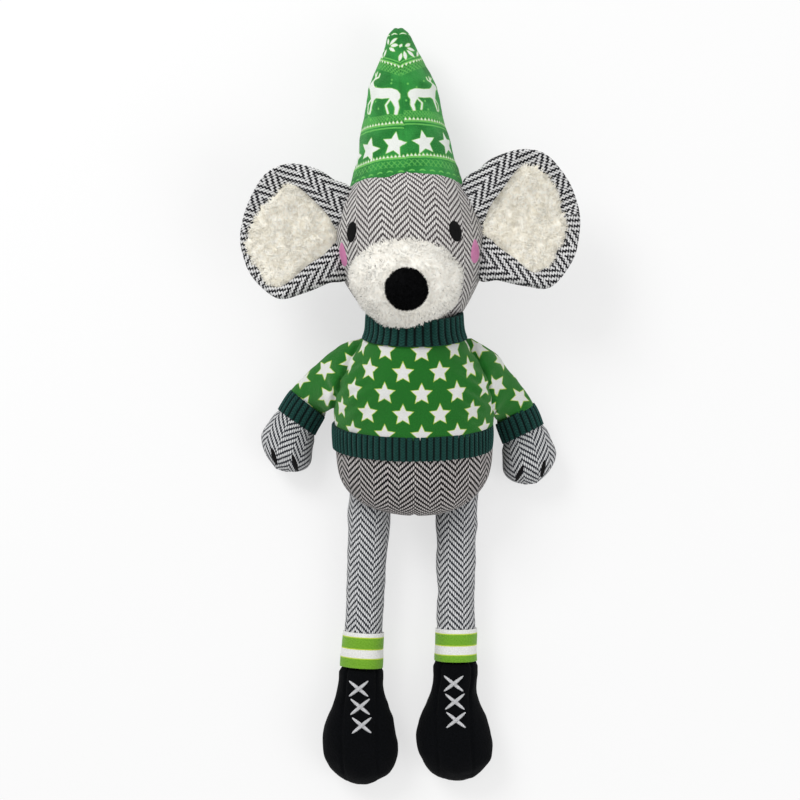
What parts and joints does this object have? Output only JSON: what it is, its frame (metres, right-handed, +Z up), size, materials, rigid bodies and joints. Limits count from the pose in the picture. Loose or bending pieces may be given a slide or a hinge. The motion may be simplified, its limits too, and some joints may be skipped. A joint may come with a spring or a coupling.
{
  "type": "plush squeaky dog toy",
  "caption": "Long-legged plush mouse toy with a tall hat, cupped ears, a ribbed jumper, laced boots and a squeaker in its belly, lying on its back.",
  "frame": {"origin": "on the floor under the middle of the lying toy's outline", "axes": "+Z up from the floor toward the toy's front, +Y from its feet to its hat, +X to the right of a viewer who looks down on it"},
  "size_m": [0.1768, 0.4056, 0.1041],
  "materials": {
    "tweed": "woven herringbone",
    "pile": "short pile",
    "sherpa": "curly pile",
    "nose_fleece": "fleece",
    "black_thread": "satin stitch",
    "pink_thread": "satin stitch",
    "jumper_fleece": "printed fleece",
    "rib_knit": "ribbed knit",
    "hat_fleece": "printed fleece",
    "sock_fleece": "striped fleece",
    "velour": "velour",
    "white_thread": "satin stitch",
    "filling": "loose fibre",
    "plastic": "moulded"
  },
  "bodies": {
    "torso": {"torso_skin": "tweed", "torso_stuffing": "filling", "jumper_body": "jumper_fleece", "jumper_hem": "rib_knit", "jumper_collar": "rib_knit", "closing_stitch": "white_thread", "squeaker_rear_shell": "plastic", "squeaker_reed_holder": "plastic", "squeaker_reed": "plastic"},
    "squeaker_dome": {"squeaker_front_dome": "plastic"},
    "head": {"head_skin": "tweed", "head_stuffing": "filling", "muzzle_skin": "pile", "muzzle_stuffing": "filling", "nose": "nose_fleece", "eye_left": "black_thread", "eye_right": "black_thread", "cheek_left": "pink_thread", "cheek_right": "pink_thread", "hat_skin": "hat_fleece", "hat_stuffing": "filling"},
    "ear_left": {"ear_back_left": "tweed", "ear_lining_left": "sherpa"},
    "ear_right": {"ear_back_right": "tweed", "ear_lining_right": "sherpa"},
    "arm_left": {"sleeve_left": "jumper_fleece", "cuff_left": "rib_knit", "arm_skin_left": "tweed", "arm_stuffing_left": "filling", "claw_left_1": "black_thread", "claw_left_2": "black_thread"},
    "arm_right": {"sleeve_right": "jumper_fleece", "cuff_right": "rib_knit", "arm_skin_right": "tweed", "arm_stuffing_right": "filling", "claw_right_1": "black_thread", "claw_right_2": "black_thread"},
    "leg_left": {"leg_skin_left": "tweed", "sock_left": "sock_fleece", "leg_stuffing_left": "filling"},
    "leg_right": {"leg_skin_right": "tweed", "sock_right": "sock_fleece", "leg_stuffing_right": "filling"},
    "boot_left": {"boot_sole_left": "velour", "boot_upper_left": "velour", "boot_stuffing_left": "filling", "lace_left_1": "white_thread", "lace_left_2": "white_thread", "lace_left_3": "white_thread"},
    "boot_right": {"boot_sole_right": "velour", "boot_upper_right": "velour", "boot_stuffing_right": "filling", "lace_right_1": "white_thread", "lace_right_2": "white_thread", "lace_right_3": "white_thread"}
  },
  "joints": [
    {"name": "neck_nod", "type": "hinge", "parent": "torso", "child": "head", "pos_m": [0.00237, 0.04728, 0.04348], "axis": [1, 0, 0], "range_deg": [-15, 20], "stiffness_Nm_per_rad": 0.3},
    {"name": "ear_fold_left", "type": "hinge", "parent": "head", "child": "ear_left", "pos_m": [-0.03706, 0.08982, 0.046], "axis": [0.0349, 0.9994, 0], "range_deg": [-15, 60], "stiffness_Nm_per_rad": 0.05},
    {"name": "ear_fold_right", "type": "hinge", "parent": "head", "child": "ear_right", "pos_m": [0.03734, 0.09332, 0.046], "axis": [0.1564, -0.9877, 0], "range_deg": [-15, 60], "stiffness_Nm_per_rad": 0.05},
    {"name": "arm_swing_left", "type": "hinge", "parent": "torso", "child": "arm_left", "pos_m": [-0.03263, 0.01878, 0.0465], "axis": [0.4062, 0.9138, 0], "range_deg": [-10, 60], "stiffness_Nm_per_rad": 0.04},
    {"name": "arm_swing_right", "type": "hinge", "parent": "torso", "child": "arm_right", "pos_m": [0.03737, 0.01658, 0.0465], "axis": [0.2583, -0.9661, 0], "range_deg": [-10, 60], "stiffness_Nm_per_rad": 0.04},
    {"name": "hip_swing_left", "type": "hinge", "parent": "torso", "child": "leg_left", "pos_m": [-0.02038, -0.05022, 0.0225], "axis": [-1, 0, 0], "range_deg": [-15, 75], "stiffness_Nm_per_rad": 0.06},
    {"name": "hip_swing_right", "type": "hinge", "parent": "torso", "child": "leg_right", "pos_m": [0.02512, -0.05022, 0.0225], "axis": [-1, 0, 0], "range_deg": [-15, 75], "stiffness_Nm_per_rad": 0.06},
    {"name": "ankle_swing_left", "type": "hinge", "parent": "leg_left", "child": "boot_left", "pos_m": [-0.02575, -0.13938, 0.0225], "axis": [-1, 0, 0], "range_deg": [-10, 60], "stiffness_Nm_per_rad": 0.03},
    {"name": "ankle_swing_right", "type": "hinge", "parent": "leg_right", "child": "boot_right", "pos_m": [0.02494, -0.13752, 0.0225], "axis": [-1, 0, 0], "range_deg": [-10, 60], "stiffness_Nm_per_rad": 0.03},
    {"name": "squeaker_press", "type": "slide", "parent": "torso", "child": "squeaker_dome", "axis": [0, 0, -1], "range_m": [0, 0.005], "stiffness_N_per_m": 300}
  ]
}
